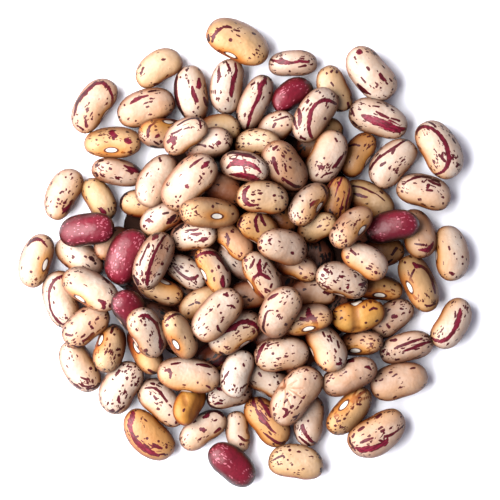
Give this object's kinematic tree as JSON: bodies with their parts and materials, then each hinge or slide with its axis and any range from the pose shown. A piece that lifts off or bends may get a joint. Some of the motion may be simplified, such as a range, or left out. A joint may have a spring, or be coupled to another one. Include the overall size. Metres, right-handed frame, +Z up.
{
  "type": "heap of dried speckled beans",
  "caption": "Loose heap of dried speckled beans: plump cream and tan beans with wine-red flecks and streaks, lying in a low round pile, for set dressing and kitchen scenes.",
  "frame": {"origin": "middle of the heap's outline, on the surface that the heap lies on", "axes": "+Z up; +Y is the side of the heap that is at the top when it is seen from above, +X its right"},
  "size_m": [0.1142, 0.1185, 0.0248],
  "materials": {
    "bean_heap": "satin"
  },
  "bodies": {
    "root": {"bean_heap": "bean_heap"}
  },
  "joints": []
}
